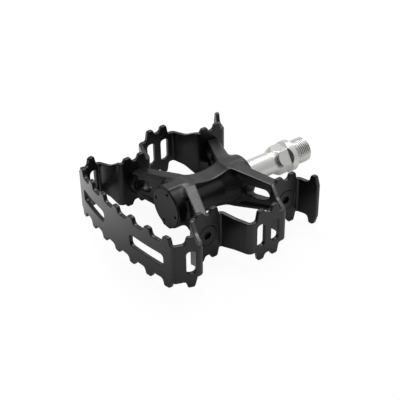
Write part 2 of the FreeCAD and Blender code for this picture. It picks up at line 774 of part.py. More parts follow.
def side_strip():
    """Back half of the strip, from the corner of the front plate to its free end."""
    end = size("front_half_depth")
    lean = math.asin(end / size("front_radius"))
    arc_end = plan(size("cage_reach - front_radius") + size("front_radius") * math.cos(lean), end)
    corner = arc_end + FreeCAD.Vector(math.sin(lean), math.cos(lean), 0) * size("corner_run")
    horn = plan(size("horn_place"), size("horn_depth"))
    half_screw = size("screw_plate_length / 2")
    half_toe = size("toe_length / 2")
    screw_depth = size("screw_plate_depth")
    points = [
        arc_end, corner, horn,
        plan(size("cap_screw_place") + half_screw, screw_depth),
        plan(size("cap_screw_place") - half_screw, screw_depth),
        plan(size("toe_place") + half_toe, size("toe_depth")),
        plan(size("toe_place") - half_toe, size("toe_depth")),
        plan(size("crank_screw_place") + half_screw, screw_depth),
        plan(size("crank_screw_place") - half_screw, screw_depth),
        plan(size("tail_place"), size("tail_depth")),
        plan(size("tail_end_place"), size("tail_end_depth"))]
    corner_fold = Fold(*points[0:3], run=size("corner_run"))
    folds = [Fold(*points[index - 1:index + 2], radius=size("fold_bend")) for index in range(2, 9)]
    tail_fold = Fold(*points[8:11], radius=size("tail_bend"))
    horn_fold, cap_in, cap_out, toe_in, toe_out, crank_in, crank_out = folds

    solids = [corner_fold.solid(size("corner_dip")), tail_fold.solid(FOLD_EDGE)]
    for fold in (horn_fold, toe_in, toe_out):
        solids.append(fold.solid(FOLD_EDGE))
    for fold in (cap_in, crank_in):
        solids.append(fold.solid(OUTER_BEND_EDGE))
    for fold in (cap_out, crank_out):
        solids.append(fold.solid(BEND_EDGE))

    for first, second, low_first, low_second in (
            (horn_fold, cap_in, FOLD_EDGE, OUTER_BEND_EDGE), (cap_out, toe_in, BEND_EDGE, FOLD_EDGE),
            (toe_out, crank_in, FOLD_EDGE, OUTER_BEND_EDGE), (crank_out, tail_fold, BEND_EDGE, FOLD_EDGE)):
        length = first.last.distanceToPoint(second.first)
        hollow = (low_first + low_second) / 2 - LEG_HOLLOW * abs(low_first - low_second)
        solids.append(flat(first.last, second.first, [
            (0, low_first, 0), (length / 2, hollow, size("leg_round")), (length, low_second, 0)]))

    slot = (size("slot_width / 2"), size("slot_height / 2"))
    length = corner_fold.last.distanceToPoint(horn_fold.first)
    middle = length + horn_fold.run - size("horn_tooth_gap")
    horn_edge = [(0, size("corner_dip"), 0)]
    horn_edge += tooth(middle, size("corner_dip"), FOLD_EDGE)[:-1]
    horn_edge += [(length, FOLD_EDGE, 0)]
    solids.append(flat(corner_fold.last, horn_fold.first, horn_edge, [(middle, *slot)]))

    for first, second, gap, low_before, low_after, slotted in (
            (cap_in, cap_out, "screw_tooth_gap", OUTER_BEND_EDGE, BEND_EDGE, False),
            (toe_in, toe_out, "toe_tooth_gap", FOLD_EDGE, FOLD_EDGE, True),
            (crank_in, crank_out, "screw_tooth_gap", OUTER_BEND_EDGE, BEND_EDGE, False)):
        length = first.last.distanceToPoint(second.first)
        places = [length / 2 + side * size(gap) / 2 for side in SIDES]
        edge_line = [(0, low_before, 0)]
        edge_line += tooth(places[0], low_before, size("pair_dip"))
        edge_line += tooth(places[1], size("pair_dip"), low_after)
        edge_line += [(length, low_after, 0)]
        slots = [(place, *slot) for place in places] if slotted else []
        solids.append(flat(first.last, second.first, edge_line, slots))

    length = tail_fold.last.distanceToPoint(points[-1])
    solids.append(flat(tail_fold.last, points[-1], [
        (0, FOLD_EDGE, 0), (size("tail_tip_start"), size("tooth_tip"), size("tip_round")),
        (size("tail_tip_end"), size("tooth_tip"), size("tip_round")), (length, size("tail_shoulder"), 0)]))
    return solids


strips = side_strip()
front = front_plate()
halves = strips + [solid.mirror(FreeCAD.Vector(), Y_AXIS) for solid in strips]
cage_strip = made("cage_strip", front.multiFuse(halves).removeSplitter())
cage = cut("cage", cage_strip, screw_holes)

NODES = [
    spindle, *inboard_bearing, *outboard_bearing, lock_washer, lock_nut, inboard_seal,
    dust_cap, dust_cap_o_ring, pedal_body, cage_screws, cage]
doc.recompute()

for item in doc.Objects:
    if "Invalid" in item.State or "Error" in item.State:
        raise RuntimeError(f"{item.Name} failed: {item.State}")
os.makedirs("parts", exist_ok=True)
for node in NODES:
    node.Label = node.Name
    if node.Shape.isNull() or not node.Shape.isValid():
        raise RuntimeError(f"{node.Name} has no valid shape")
for node in NODES:
    node.Shape.exportStep(f"parts/{node.Label}.step")
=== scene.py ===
"""Bicycle pedal as it is put together: spindle, bearings, cast body, dust cap, folded cage and its screws."""

import math

import bmesh
import bpy
from mathutils import Matrix, Vector


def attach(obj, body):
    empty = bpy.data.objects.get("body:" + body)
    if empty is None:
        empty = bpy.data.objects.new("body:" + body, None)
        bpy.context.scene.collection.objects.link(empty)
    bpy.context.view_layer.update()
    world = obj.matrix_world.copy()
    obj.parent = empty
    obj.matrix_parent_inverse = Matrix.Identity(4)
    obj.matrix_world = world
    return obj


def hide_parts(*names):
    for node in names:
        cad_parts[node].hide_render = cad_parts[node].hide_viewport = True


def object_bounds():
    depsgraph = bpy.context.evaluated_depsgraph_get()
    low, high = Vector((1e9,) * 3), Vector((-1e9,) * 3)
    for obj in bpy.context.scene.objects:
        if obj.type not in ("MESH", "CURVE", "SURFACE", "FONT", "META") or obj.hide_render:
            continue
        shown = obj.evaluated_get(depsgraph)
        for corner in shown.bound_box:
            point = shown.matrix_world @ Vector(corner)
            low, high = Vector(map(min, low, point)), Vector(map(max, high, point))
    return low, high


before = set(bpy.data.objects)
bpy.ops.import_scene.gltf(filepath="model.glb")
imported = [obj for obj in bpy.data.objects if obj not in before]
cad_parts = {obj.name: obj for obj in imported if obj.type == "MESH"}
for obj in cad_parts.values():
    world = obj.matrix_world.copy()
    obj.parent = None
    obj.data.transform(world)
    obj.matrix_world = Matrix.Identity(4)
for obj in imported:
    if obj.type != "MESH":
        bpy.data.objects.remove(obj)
cad_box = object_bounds()

# Spindle: one bar of alloy steel, turned on a lathe, milled to a hexagon for the pedal wrench, with the
# crank thread rolled on its end, then plated in satin nickel. Each step of the bar is a row of points.
# The thread's turns are drawn about half as deep as real ones, which looks as calm as the fine real ones.
MM = 0.001
THREAD_RADIUS = 7.145
THREAD_PITCH = 25.4 / 20
THREAD_DEPTH = 0.4
THREAD_FLAT = 0.08
THREAD_LENGTH = 10.8
THREAD_CHAMFER = 0.9
THREAD_ROWS = 14
GROOVE_WIDTH = 0.9
GROOVE_RADIUS = 6.3
COLLAR_RADIUS = 9.1
COLLAR_CHAMFER = 0.6
WRENCH_SIDES = 6
WRENCH_FLAT = 7.5
WRENCH_FACE = -5.3
WRENCH_TURN = math.radians(-3.5)
TAPER_START = -9.6
TAPER_END = -15.4
TAPER_EARLY = 0.92
SHAFT_RADIUS = 6.4
EDGE_BREAK = 0.3
EDGE_SOFTNESS = 0.04
ROW_STEP = 0.15
AROUND = 320
CENTRE_HOLE = 1.6
CENTRE_PILOT = 0.5
TURNED_CREASE = 32
INNER_STEPS = [(-37.3, 6.4), (-37.3, 6.0), (-41.3, 6.0), (-41.3, 5.2), (-71.7, 5.2), (-71.7, 4.0),
               (-76.7, 4.0), (-76.7, 3.5), (-82.3, 3.5), (-82.8, 3.0)]


def spread(start, end, step):
    """Even places from start to end, both included, no further apart than step."""
    count = max(1, math.ceil(abs(end - start) / step))
    return [start + (end - start) * index / count for index in range(count + 1)]


def thread_radius(place, turn):
    """Radius of the rolled thread, with rounded crests and roots and a chamfer on its end."""
    phase = (place / THREAD_PITCH - turn / math.tau) % 1.0
    rise = abs(2 * phase - 1)
    flank = min(1.0, max(0.0, (rise - THREAD_FLAT) / (1 - 2 * THREAD_FLAT)))
    deep = 0.5 - 0.5 * math.cos(math.pi * flank)
    chamfered = THREAD_RADIUS - THREAD_CHAMFER + (THREAD_LENGTH - place)
    return min(THREAD_RADIUS - THREAD_DEPTH * deep, chamfered)


def wrench_radius(place, radius, turn):
    """Radius left by the milled flats, which run out at 45 degrees into the collar, edges eased."""
    sixth = math.tau / WRENCH_SIDES
    away = (turn - math.pi / 2 - WRENCH_TURN + sixth / 2) % sixth - sixth / 2
    flat = (WRENCH_FLAT + max(0.0, place - WRENCH_FACE)) / math.cos(away)
    least = min(radius, flat)
    blend = sum(math.exp((least - side) / EDGE_SOFTNESS) for side in (radius, flat))
    return least - EDGE_SOFTNESS * math.log(blend)


def skinned(form, rows):
    """Joins rows of points into one closed skin, with a face on each end."""
    count = len(rows[0])
    faces = [form.faces.new(rows[0]), form.faces.new(rows[-1])]
    for near, far in zip(rows, rows[1:]):
        for index in range(count):
            after = (index + 1) % count
            faces.append(form.faces.new((near[index], near[after], far[after], far[index])))
    bmesh.ops.recalc_face_normals(form, faces=faces)


def finished(name, form, crease):
    """Object from a bmesh, smooth up to a crease angle in degrees."""
    mesh = bpy.data.meshes.new(name)
    form.to_mesh(mesh)
    form.free()
    mesh.shade_smooth()
    mesh.set_sharp_from_angle(angle=math.radians(crease))
    old_normals = mesh.attributes.get("custom_normal")
    if old_normals:
        mesh.attributes.remove(old_normals)
    piece = bpy.data.objects.new(name, mesh)
    bpy.context.scene.collection.objects.link(piece)
    return piece


steps = [(THREAD_LENGTH - CENTRE_HOLE + CENTRE_PILOT, CENTRE_PILOT, None), (THREAD_LENGTH, CENTRE_HOLE, None)]
for place in spread(THREAD_LENGTH, GROOVE_WIDTH + EDGE_BREAK, THREAD_PITCH / THREAD_ROWS):
    steps.append((place, THREAD_RADIUS, "thread"))
steps += [(GROOVE_WIDTH, GROOVE_RADIUS, None), (0.0, GROOVE_RADIUS, None)]
steps += [(0.0, COLLAR_RADIUS - COLLAR_CHAMFER, None)]
for place in spread(-COLLAR_CHAMFER, TAPER_START, ROW_STEP):
    steps.append((place, COLLAR_RADIUS, "flats"))
for place in spread(TAPER_START, TAPER_END, ROW_STEP)[1:]:
    share = ((place - TAPER_START) / (TAPER_END - TAPER_START)) ** TAPER_EARLY
    fall = share * share * (3 - 2 * share)
    steps.append((place, COLLAR_RADIUS + (SHAFT_RADIUS - COLLAR_RADIUS) * fall, "flats"))
steps += [(place, radius, None) for place, radius in INNER_STEPS]

form = bmesh.new()
rows = []
for place, radius, cut in steps:
    row = []
    for index in range(AROUND):
        turn = math.tau * index / AROUND
        reach = radius
        if cut == "thread":
            reach = thread_radius(place, turn)
        if cut == "flats":
            reach = wrench_radius(place, radius, turn)
        row.append(form.verts.new(Vector((place, reach * math.cos(turn), reach * math.sin(turn))) * MM))
    rows.append(row)
skinned(form, rows)
spindle = finished("spindle_bar", form, TURNED_CREASE)
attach(spindle, "spindle_set")
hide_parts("spindle")


def linear(code):
    """Linear colour of an sRGB hex value."""
    parts = [int(code[start:start + 2], 16) / 255 for start in (1, 3, 5)]
    return [part / 12.92 if part <= 0.04045 else ((part + 0.055) / 1.055) ** 2.4 for part in parts] + [1.0]


def add_node(owner, kind, values=(), links=(), **settings):
    """Adds a node with its settings, its socket values and its links from (node, output) pairs."""
    node = owner.node_tree.nodes.new(kind)
    for setting, value in settings.items():
        setattr(node, setting, value)
    for socket, value in dict(values).items():
        node.inputs[socket].default_value = value
    for socket, (source, output) in dict(links).items():
        owner.node_tree.links.new(source.outputs[output], node.inputs[socket])
    return node


def new_material(name):
    """Empty node material."""
    material = bpy.data.materials.new(name)
    material.use_nodes = True
    material.node_tree.nodes.clear()
    return material


def dress(piece, material):
    """Gives a piece its one material."""
    piece.data.materials.clear()
    piece.data.materials.append(material)


# Nickel over turned steel: bright and soft, with faint rings round the bar from the lathe tool. The rings
# are drawn 0.5 mm apart, coarser than real ones, so that they show. A noise keeps mostly to its middle
# values, so each gloss takes its range from those.
NICKEL_DEEP = "#d3d3d1"
NICKEL_PALE = "#dedddc"
RING_SPACING = 0.5
RING_HEIGHT = 0.02
NICKEL_CLOUD = 6
NOISE_LOW = 0.3
NOISE_HIGH = 0.7
nickel = new_material("satin_nickel_on_turned_steel")
place = add_node(nickel, "ShaderNodeTexCoord")
along = add_node(nickel, "ShaderNodeSeparateXYZ", links={"Vector": (place, "Object")})
rings = add_node(nickel, "ShaderNodeTexNoise",
                 {"Scale": 1 / (RING_SPACING * MM), "Detail": 3.0, "Roughness": 0.6},
                 {"W": (along, "X")}, noise_dimensions="1D")
cloud = add_node(nickel, "ShaderNodeTexNoise", {"Scale": 1 / (NICKEL_CLOUD * MM), "Detail": 2.0},
                 {"Vector": (place, "Object")})
shine = add_node(nickel, "ShaderNodeMapRange",
                 {"From Min": NOISE_LOW, "From Max": NOISE_HIGH, "To Min": 0.3, "To Max": 0.38},
                 {"Value": (rings, "Fac")})
tone = add_node(nickel, "ShaderNodeMix", {"A": linear(NICKEL_DEEP), "B": linear(NICKEL_PALE)},
                {"Factor": (cloud, "Fac")}, data_type="RGBA")
marks = add_node(nickel, "ShaderNodeBump", {"Strength": 0.06, "Distance": RING_HEIGHT * MM},
                 {"Height": (rings, "Fac")})
metal = add_node(nickel, "ShaderNodeBsdfPrincipled", {"Metallic": 1.0},
                 {"Base Color": (tone, "Result"), "Roughness": (shine, "Result"),
                  "Normal": (marks, "Normal")})
add_node(nickel, "ShaderNodeOutputMaterial", links={"Surface": (metal, "BSDF")})
dress(spindle, nickel)

# Bearings: two bought cartridges, pressed into the barrel and slid on the spindle. Rings and balls are ground
# and lapped bearing steel, each retainer is moulded nylon, and the shields are pressed from thin steel sheet.
# The balls are copies with their doubled points joined, so that each is one closed skin.
WELD = 0.001
NODE_CREASE = 30

# Ground bearing steel: mirror-like, with a gloss that is broken up by the fine scratches of the grinding.
BEARING_GREY = "#c6c7c9"
GRIND_GRAIN = 0.15
bearing_steel = new_material("ground_bearing_steel")
place = add_node(bearing_steel, "ShaderNodeTexCoord")
grind = add_node(bearing_steel, "ShaderNodeTexNoise", {"Scale": 1 / (GRIND_GRAIN * MM), "Detail": 2.0},
                 {"Vector": (place, "Object")})
shine = add_node(bearing_steel, "ShaderNodeMapRange", {"To Min": 0.08, "To Max": 0.2},
                 {"Value": (grind, "Fac")})
metal = add_node(bearing_steel, "ShaderNodeBsdfPrincipled",
                 {"Base Color": linear(BEARING_GREY), "Metallic": 1.0}, {"Roughness": (shine, "Result")})
add_node(bearing_steel, "ShaderNodeOutputMaterial", links={"Surface": (metal, "BSDF")})

# Moulded nylon: a warm, natural cream with a half-gloss and the fine grain of the mould.
NYLON_DEEP = "#c9bfa6"
NYLON_PALE = "#d6cdb8"
NYLON_GRAIN = 0.2
NYLON_RELIEF = 0.02
nylon = new_material("moulded_nylon")
place = add_node(nylon, "ShaderNodeTexCoord")
grain = add_node(nylon, "ShaderNodeTexNoise", {"Scale": 1 / (NYLON_GRAIN * MM), "Detail": 3.0},
                 {"Vector": (place, "Object")})
bump = add_node(nylon, "ShaderNodeBump", {"Strength": 0.2, "Distance": NYLON_RELIEF * MM},
                {"Height": (grain, "Fac")})
tone = add_node(nylon, "ShaderNodeMix", {"A": linear(NYLON_DEEP), "B": linear(NYLON_PALE)},
                {"Factor": (grain, "Fac")}, data_type="RGBA")
plastic = add_node(nylon, "ShaderNodeBsdfPrincipled", {"Roughness": 0.45, "IOR": 1.53},
                   {"Base Color": (tone, "Result"), "Normal": (bump, "Normal")})
add_node(nylon, "ShaderNodeOutputMaterial", links={"Surface": (plastic, "BSDF")})

# Pressed steel sheet: greyer and duller than the rings, with an uneven sheen from the rolling.
SHEET_GREY = "#a9aaac"
SHEET_GRAIN = 0.3
sheet_steel = new_material("pressed_sheet_steel")
place = add_node(sheet_steel, "ShaderNodeTexCoord")
grain = add_node(sheet_steel, "ShaderNodeTexNoise", {"Scale": 1 / (SHEET_GRAIN * MM), "Detail": 2.0},
                 {"Vector": (place, "Object")})
shine = add_node(sheet_steel, "ShaderNodeMapRange", {"To Min": 0.25, "To Max": 0.4},
                 {"Value": (grain, "Fac")})
metal = add_node(sheet_steel, "ShaderNodeBsdfPrincipled",
                 {"Base Color": linear(SHEET_GREY), "Metallic": 1.0}, {"Roughness": (shine, "Result")})
add_node(sheet_steel, "ShaderNodeOutputMaterial", links={"Surface": (metal, "BSDF")})


def welded(node):
    """Copy of a CAD node's mesh with its doubled points joined."""
    copy = bmesh.new()
    copy.from_mesh(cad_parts[node].data)
    bmesh.ops.remove_doubles(copy, verts=copy.verts, dist=WELD * MM)
    return copy


for end in ("inboard", "outboard"):
    balls = finished(f"{end}_lapped_balls", welded(f"{end}_balls"), NODE_CREASE)
    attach(balls, f"{end}_ball_set")
    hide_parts(f"{end}_balls")
    dress(balls, bearing_steel)
    for ring in ("inner_ring", "outer_ring"):
        dress(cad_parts[f"{end}_{ring}"], bearing_steel)
    for shield in ("crank_shield", "cap_shield"):
        dress(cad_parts[f"{end}_{shield}"], sheet_steel)
    dress(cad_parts[f"{end}_retainer"], nylon)

# Lock washer and lock nut: plain steel, plated with the spindle. The nut screws on the spindle's inner end
# and clamps the outboard bearing through the washer.
for fastener in ("lock_washer", "lock_nut"):
    dress(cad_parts[fastener], nickel)

# Seal and O-ring: moulded nitrile rubber. The lip seal is pressed in the barrel's mouth and wipes the shaft,
# and the O-ring sits round the dust cap's plug.

# Nitrile rubber: black and matt, with a soft sheen and the fine grain of its mould.
NITRILE_BLACK = "#161616"
RUBBER_GRAIN = 0.25
RUBBER_RELIEF = 0.02
nitrile = new_material("moulded_nitrile_rubber")
place = add_node(nitrile, "ShaderNodeTexCoord")
grain = add_node(nitrile, "ShaderNodeTexNoise", {"Scale": 1 / (RUBBER_GRAIN * MM), "Detail": 3.0},
                 {"Vector": (place, "Object")})
bump = add_node(nitrile, "ShaderNodeBump", {"Strength": 0.25, "Distance": RUBBER_RELIEF * MM},
                {"Height": (grain, "Fac")})
shine = add_node(nitrile, "ShaderNodeMapRange", {"To Min": 0.5, "To Max": 0.7}, {"Value": (grain, "Fac")})
rubber = add_node(nitrile, "ShaderNodeBsdfPrincipled", {"Base Color": linear(NITRILE_BLACK), "IOR": 1.52},
                  {"Roughness": (shine, "Result"), "Normal": (bump, "Normal")})
add_node(nitrile, "ShaderNodeOutputMaterial", links={"Surface": (rubber, "BSDF")})
for gasket in ("inboard_seal", "dust_cap_o_ring"):
    dress(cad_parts[gasket], nitrile)

# Body: one aluminium casting, a barrel with four arms, bored for the bearings and sprayed satin black. Its
# solid is remeshed finely, swollen and shrunk again, which fills its roots, and then eased, so that every
# edge and root has the soft blend of a casting.
CAST_CELL = 0.45
CAST_ROOT = 1.2
CAST_EASE = 12
EASE_SHARE = 0.5

# Saddles: the dips between the arms, above and below, run level into the arms in one pour of metal. Each
# is a low band on the barrel's wall, clear of its bore.
SADDLE_START = -70.4
SADDLE_END = -47.0
SADDLE_TOP = 12.0
SADDLE_DIP = 2.5
SADDLE_FOOT = 7.4
SADDLE_HALF = 5.3
SADDLE_STEP = 1.0
form = welded("pedal_body")
middle = (SADDLE_START + SADDLE_END) / 2
for side in (1, -1):
    rows = []
    for place in spread(SADDLE_START, SADDLE_END, SADDLE_STEP):
        away = (place - middle) / (SADDLE_END - middle)
        top = SADDLE_TOP - SADDLE_DIP * (1 - away * away)
        corners = ((SADDLE_HALF, top), (-SADDLE_HALF, top),
                   (-SADDLE_HALF, SADDLE_FOOT), (SADDLE_HALF, SADDLE_FOOT))
        rows.append([form.verts.new(Vector((place, depth, side * level)) * MM) for depth, level in corners])
    skinned(form, rows)
cast = finished("cast_body", form, NODE_CREASE)
for name, swell in (("swollen", CAST_ROOT), ("shrunk", -CAST_ROOT)):
    cells = cast.modifiers.new(f"{name}_cells", "REMESH")
    cells.mode = "VOXEL"
    cells.voxel_size = CAST_CELL * MM
    cells.use_smooth_shade = True
    push = cast.modifiers.new(name, "DISPLACE")
    push.mid_level = 0.0
    push.strength = swell * MM
ease = cast.modifiers.new("ease", "SMOOTH")
ease.factor = EASE_SHARE
ease.iterations = CAST_EASE
settled = bpy.data.meshes.new_from_object(cast.evaluated_get(bpy.context.evaluated_depsgraph_get()))
cast.modifiers.clear()
cast.data = settled
cast.data.shade_smooth()
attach(cast, "pedal_platform")
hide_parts("pedal_body")

# Sprayed satin black on a casting: dark, with a soft sheen broken up by the sand's grain, which is drawn
# 0.45 mm wide, and a slow change of gloss from the spray.
CAST_DEEP = "#0d0d0d"
CAST_PALE = "#131313"
CAST_GRAIN = 0.45
CAST_RELIEF = 0.05
SPRAY_CLOUD = 7
satin_black = new_material("satin_black_paint_on_cast_aluminium")
place = add_node(satin_black, "ShaderNodeTexCoord")
grain = add_node(satin_black, "ShaderNodeTexNoise",
                 {"Scale": 1 / (CAST_GRAIN * MM), "Detail": 4.0, "Roughness": 0.6},
                 {"Vector": (place, "Object")})
cloud = add_node(satin_black, "ShaderNodeTexNoise", {"Scale": 1 / (SPRAY_CLOUD * MM), "Detail": 3.0},
                 {"Vector": (place, "Object")})
shine = add_node(satin_black, "ShaderNodeMapRange",
                 {"From Min": NOISE_LOW, "From Max": NOISE_HIGH, "To Min": 0.3, "To Max": 0.4},
                 {"Value": (cloud, "Fac")})
tone = add_node(satin_black, "ShaderNodeMix", {"A": linear(CAST_DEEP), "B": linear(CAST_PALE)},
                {"Factor": (grain, "Fac")}, data_type="RGBA")
bump = add_node(satin_black, "ShaderNodeBump", {"Strength": 0.3, "Distance": CAST_RELIEF * MM},
                {"Height": (grain, "Fac")})
paint = add_node(satin_black, "ShaderNodeBsdfPrincipled", {"IOR": 1.5},
                 {"Base Color": (tone, "Result"), "Roughness": (shine, "Result"), "Normal": (bump, "Normal")})
add_node(satin_black, "ShaderNodeOutputMaterial", links={"Surface": (paint, "BSDF")})
dress(cast, satin_black)

# Dust cap: a turned aluminium plug with a thin flange, anodised black and screwed into the barrel's end.
# Four blind holes in its face take a pin spanner.
CAP_ROUND = 0.2
FLAT_JOIN = 0.2
SHARP_EDGE = 30
ROUND_STEPS = 3
ROUND_CREASE = 60


def eased(name, form, width):
    """Object from a bmesh with its sharp edges rounded, as a tumbled or turned piece has them."""
    bmesh.ops.dissolve_limit(form, angle_limit=math.radians(FLAT_JOIN), verts=form.verts, edges=form.edges)
    sharp = [edge for edge in form.edges
             if len(edge.link_faces) == 2 and edge.calc_face_angle() > math.radians(SHARP_EDGE)]
    bmesh.ops.bevel(form, geom=sharp, offset=width * MM, segments=ROUND_STEPS, profile=0.5, affect="EDGES",
                    clamp_overlap=False)
    piece = finished(name, form, ROUND_CREASE)
    even = piece.modifiers.new("even", "WEIGHTED_NORMAL")
    even.keep_sharp = True
    return piece


cap = eased("cap_plug", welded("dust_cap"), CAP_ROUND)
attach(cap, "pedal_platform")
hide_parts("dust_cap")

# Black anodising on a faced cap: matt, with faint rings round the axis from the facing cut, drawn 0.6 mm
# apart so that they show.
CAP_BLACK = "#2c2c2c"
FACING_SPACING = 0.6
FACING_RELIEF = 0.03
ACROSS_AXIS = (0.0, 1.0, 1.0)
anodised = new_material("black_anodised_turned_aluminium")
place = add_node(anodised, "ShaderNodeTexCoord")
across = add_node(anodised, "ShaderNodeVectorMath", {1: ACROSS_AXIS}, {0: (place, "Object")},
                  operation="MULTIPLY")
radius = add_node(anodised, "ShaderNodeVectorMath", links={0: (across, "Vector")}, operation="LENGTH")
rings = add_node(anodised, "ShaderNodeTexNoise", {"Scale": 1 / (FACING_SPACING * MM), "Detail": 2.0},
                 {"W": (radius, "Value")}, noise_dimensions="1D")
shine = add_node(anodised, "ShaderNodeMapRange",
                 {"From Min": NOISE_LOW, "From Max": NOISE_HIGH, "To Min": 0.4, "To Max": 0.52},
                 {"Value": (rings, "Fac")})
bump = add_node(anodised, "ShaderNodeBump", {"Strength": 0.1, "Distance": FACING_RELIEF * MM},
                {"Height": (rings, "Fac")})
oxide = add_node(anodised, "ShaderNodeBsdfPrincipled", {"Base Color": linear(CAP_BLACK), "IOR": 1.5},
                 {"Roughness": (shine, "Result"), "Normal": (bump, "Normal")})
add_node(anodised, "ShaderNodeOutputMaterial", links={"Surface": (oxide, "BSDF")})
dress(cap, anodised)

# Cage: one strip of aluminium, stamped with its teeth and slots, tumbled, folded round the body and
# anodised black. Four screws hold it to the arms.
CAGE_ROUND = 0.5
STRIP_HALF = 1.2
form = welded("cage")

# Tails: the strip's two free ends, which run straight on from their folds and end in broad prongs. The
# solid's ends have one more small fold, at the bend point in plan, so they are laid flat here and drawn to
# the outline of the real ones.
TAIL_START = 34.4
TAIL_SIDE = -24.5
TAIL_LEAN = 0.22
TAIL_BEND = 1.6
LEG_POINT = Vector((-22.1, 32.6))
BEND_POINT = Vector((-21.0, 42.4))
END_POINT = Vector((-17.0, 43.2))
# Each row is a place along the solid's end, the place that it goes to, and how far its edge moves out.
TAIL_ROWS = [(-6.9, -6.9, 0.0), (-4.4, -5.0, 0.62), (-2.2, -3.6, 0.93), (0.0, -2.5, 1.3), (1.0, -1.95, 1.75),
             (2.02, -1.5, 2.6), (2.3, -1.1, 0.0), (4.78, 2.2, 0.0), (4.93, 3.4, -2.0)]


def tail_row(along):
    """Place and move outwards that the rows give for a place along the solid's end."""
    for near, far in zip(TAIL_ROWS, TAIL_ROWS[1:]):
        if along <= far[0]:
            break
    share = min(1.0, max(0.0, (along - near[0]) / (far[0] - near[0])))
    return [start + (end - start) * share for start, end in zip(near[1:], far[1:])]


leg_way = (BEND_POINT - LEG_POINT).normalized()
leg_outward = Vector((-leg_way.y, leg_way.x))
end_way = (END_POINT - BEND_POINT).normalized()
end_outward = Vector((-end_way.y, end_way.x))
bend = leg_way.angle(end_way)
centre = BEND_POINT - leg_way * TAIL_BEND * math.tan(bend / 2) - leg_outward * TAIL_BEND
for point in form.verts:
    spot = Vector((point.co.x, abs(point.co.y))) / MM
    if spot.x < TAIL_SIDE or spot.y < TAIL_START:
        continue
    away = spot - centre
    along = away.dot(leg_way)
    off = away.dot(leg_outward)
    if along > 0 and away.dot(end_way) < 0:
        along = TAIL_BEND * leg_outward.angle(away)
        off = away.length
    elif along > 0:
        along = TAIL_BEND * bend + away.dot(end_way)
        off = away.dot(end_outward)
    along, rise = tail_row(along)
    off = TAIL_BEND + math.copysign(STRIP_HALF, off - TAIL_BEND)
    spot = centre + leg_way * along + leg_outward * off
    lean = TAIL_LEAN * (spot.y - TAIL_START)
    level = point.co.z + rise * MM * math.copysign(1, point.co.z)
    point.co = ((spot.x + lean) * MM, math.copysign(spot.y * MM, point.co.y), level)

cage = eased("cage_strip", form, CAGE_ROUND)
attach(cage, "pedal_platform")
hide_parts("cage")

# Black anodising on rolled strip: deep black with a tight sheen, and faint lines along the strip from the
# rolls, drawn 0.7 mm apart so that they show.
STRIP_DEEP = "#0b0b0b"
STRIP_PALE = "#111111"
ROLL_SPACING = 0.7
ROLL_SHARE = 0.35
STRIP_GRAIN = 0.3
STRIP_RELIEF = 0.03
STRIP_CLOUD = 9
strip_black = new_material("black_anodised_rolled_aluminium")
place = add_node(strip_black, "ShaderNodeTexCoord")
height = add_node(strip_black, "ShaderNodeSeparateXYZ", links={"Vector": (place, "Object")})
lines = add_node(strip_black, "ShaderNodeTexNoise", {"Scale": 1 / (ROLL_SPACING * MM), "Detail": 3.0},
                 {"W": (height, "Z")}, noise_dimensions="1D")
grain = add_node(strip_black, "ShaderNodeTexNoise", {"Scale": 1 / (STRIP_GRAIN * MM), "Detail": 3.0},
                 {"Vector": (place, "Object")})
cloud = add_node(strip_black, "ShaderNodeTexNoise", {"Scale": 1 / (STRIP_CLOUD * MM), "Detail": 3.0},
                 {"Vector": (place, "Object")})
mottle = add_node(strip_black, "ShaderNodeMix", {"Factor": ROLL_SHARE},
                  {"A": (cloud, "Fac"), "B": (lines, "Fac")}, data_type="FLOAT")
shine = add_node(strip_black, "ShaderNodeMapRange",
                 {"From Min": NOISE_LOW, "From Max": NOISE_HIGH, "To Min": 0.26, "To Max": 0.34},
                 {"Value": (mottle, "Result")})
tone = add_node(strip_black, "ShaderNodeMix", {"A": linear(STRIP_DEEP), "B": linear(STRIP_PALE)},
                {"Factor": (cloud, "Fac")}, data_type="RGBA")
bump = add_node(strip_black, "ShaderNodeBump", {"Strength": 0.06, "Distance": STRIP_RELIEF * MM},
                {"Height": (grain, "Fac")})
oxide = add_node(strip_black, "ShaderNodeBsdfPrincipled", {"IOR": 1.5},
                 {"Base Color": (tone, "Result"), "Roughness": (shine, "Result"), "Normal": (bump, "Normal")})
add_node(strip_black, "ShaderNodeOutputMaterial", links={"Surface": (oxide, "BSDF")})
dress(cage, strip_black)

# Cage screws: four countersunk hexagon socket screws of alloy steel, headed cold and blacked in hot oxide.
# They hold the cage's screw plates on the bosses at the arms' ends.
SCREW_ROUND = 0.4
screws = eased("cage_screw_set", welded("cage_screws"), SCREW_ROUND)
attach(screws, "pedal_platform")
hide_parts("cage_screws")

# Black oxide on steel: nearly black with a greasy half-gloss and a fine grain from the forging, drawn
# 0.4 mm wide.
OXIDE_DEEP = "#0c0c0c"
OXIDE_PALE = "#151514"
OXIDE_GRAIN = 0.4
black_oxide = new_material("hot_black_oxide_on_steel")
place = add_node(black_oxide, "ShaderNodeTexCoord")
grain = add_node(black_oxide, "ShaderNodeTexNoise", {"Scale": 1 / (OXIDE_GRAIN * MM), "Detail": 3.0},
                 {"Vector": (place, "Object")})
shine = add_node(black_oxide, "ShaderNodeMapRange",
                 {"From Min": NOISE_LOW, "From Max": NOISE_HIGH, "To Min": 0.32, "To Max": 0.48},
                 {"Value": (grain, "Fac")})
tone = add_node(black_oxide, "ShaderNodeMix", {"A": linear(OXIDE_DEEP), "B": linear(OXIDE_PALE)},
                {"Factor": (grain, "Fac")}, data_type="RGBA")
oxide = add_node(black_oxide, "ShaderNodeBsdfPrincipled", {"IOR": 1.5},
                 {"Base Color": (tone, "Result"), "Roughness": (shine, "Result")})
add_node(black_oxide, "ShaderNodeOutputMaterial", links={"Surface": (oxide, "BSDF")})
dress(screws, black_oxide)

